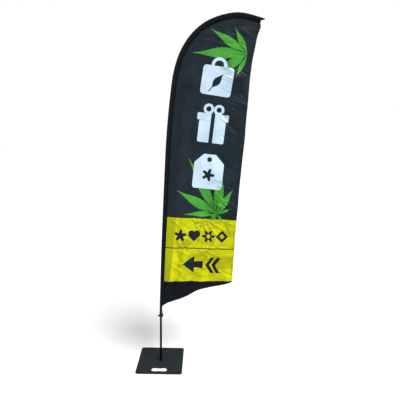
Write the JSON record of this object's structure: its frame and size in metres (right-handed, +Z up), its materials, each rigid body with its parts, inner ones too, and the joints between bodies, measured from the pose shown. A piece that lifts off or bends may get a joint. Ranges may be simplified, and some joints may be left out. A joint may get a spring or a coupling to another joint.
{
  "type": "teardrop flag",
  "caption": "Teardrop flag on a bowed pole that turns on a ball-bearing spindle over a square steel base plate.",
  "frame": {"origin": "on the floor, at the centre of the base plate's underside, on the axis the flag turns about", "axes": "+Z up along the pole's foot, +X from the pole towards the flag's trailing edge, -Y towards the plate's hand slot"},
  "size_m": [0.9699, 0.38, 2.8231],
  "materials": {
    "powder_coat": "fine-textured dark grey powder coat",
    "black_steel": "black oxide, satin",
    "bright_steel": "ground steel",
    "black_plastic": "moulded nylon, fine grain",
    "black_aluminium": "black anodised tube",
    "glass_fibre": "pultruded glass fibre rod",
    "rubber": "matt",
    "panel_cloth": "knitted polyester, dye printed",
    "sleeve_cloth": "black stretch polyester",
    "webbing": "woven polypropylene tape"
  },
  "bodies": {
    "base": {"base_plate": "powder_coat", "base_stud": "bright_steel", "bearing_housing": "black_steel", "bearing_spacer": "bright_steel", "housing_circlip": "bright_steel", "dust_seal": "rubber", "lower_bearing_outer_ring": "bright_steel", "upper_bearing_outer_ring": "bright_steel"},
    "lower_balls": {"lower_bearing_balls": "bright_steel"},
    "upper_balls": {"upper_bearing_balls": "bright_steel"},
    "spindle": {"spindle_pin": "black_steel", "pin_circlip": "bright_steel", "pin_bush_lower": "black_plastic", "pin_bush_upper": "black_plastic", "lower_bearing_inner_ring": "bright_steel", "upper_bearing_inner_ring": "bright_steel"},
    "pole": {"lower_pole": "black_aluminium", "lower_joint_ring": "black_plastic", "middle_pole": "black_aluminium", "upper_joint_ring": "black_plastic", "top_rod": "glass_fibre", "tip_cap": "rubber", "pole_sleeve": "sleeve_cloth", "tip_pocket": "webbing", "flag_panel": "panel_cloth", "sleeve_cuff": "webbing", "cord_patch_front": "webbing", "cord_patch_back": "webbing", "bungee_cord": "rubber"},
    "collar": {"tension_collar": "black_plastic", "collar_nut": "bright_steel"},
    "screw_shank": {"thumb_screw_shank": "bright_steel"},
    "screw_knob": {"thumb_screw_knob": "black_plastic"}
  },
  "joints": [
    {"name": "flag_spin", "type": "hinge", "parent": "base", "child": "spindle", "pos_m": [0, 0, 0.0567], "axis": [0, 0, 1], "continuous": true},
    {"name": "lower_balls_spin", "type": "hinge", "parent": "base", "child": "lower_balls", "pos_m": [0, 0, 0.0247], "axis": [0, 0, 1], "continuous": true},
    {"name": "upper_balls_spin", "type": "hinge", "parent": "base", "child": "upper_balls", "pos_m": [0, 0, 0.0867], "axis": [0, 0, 1], "continuous": true},
    {"name": "pole_lift", "type": "slide", "parent": "spindle", "child": "pole", "axis": [0, 0, 1], "range_m": [0, 0.185]},
    {"name": "collar_slide", "type": "slide", "parent": "pole", "child": "collar", "axis": [0, 0, 1], "range_m": [-0.05, 0.007], "deforming": ["bungee_cord"]},
    {"name": "screw_advance", "type": "slide", "parent": "collar", "child": "screw_shank", "axis": [-1, 0, 0], "range_m": [0, 0.0032]},
    {"name": "knob_turn", "type": "hinge", "parent": "screw_shank", "child": "screw_knob", "pos_m": [-0.0176, 0, 0.411], "axis": [-1, 0, 0], "range_deg": [0, 1440]}
  ],
  "couplings": [
    {"joint": "lower_balls_spin", "follows": "flag_spin", "ratio": 0.4},
    {"joint": "upper_balls_spin", "follows": "flag_spin", "ratio": 0.4},
    {"joint": "knob_turn", "follows": "screw_advance", "rad_per_m": 7854}
  ]
}
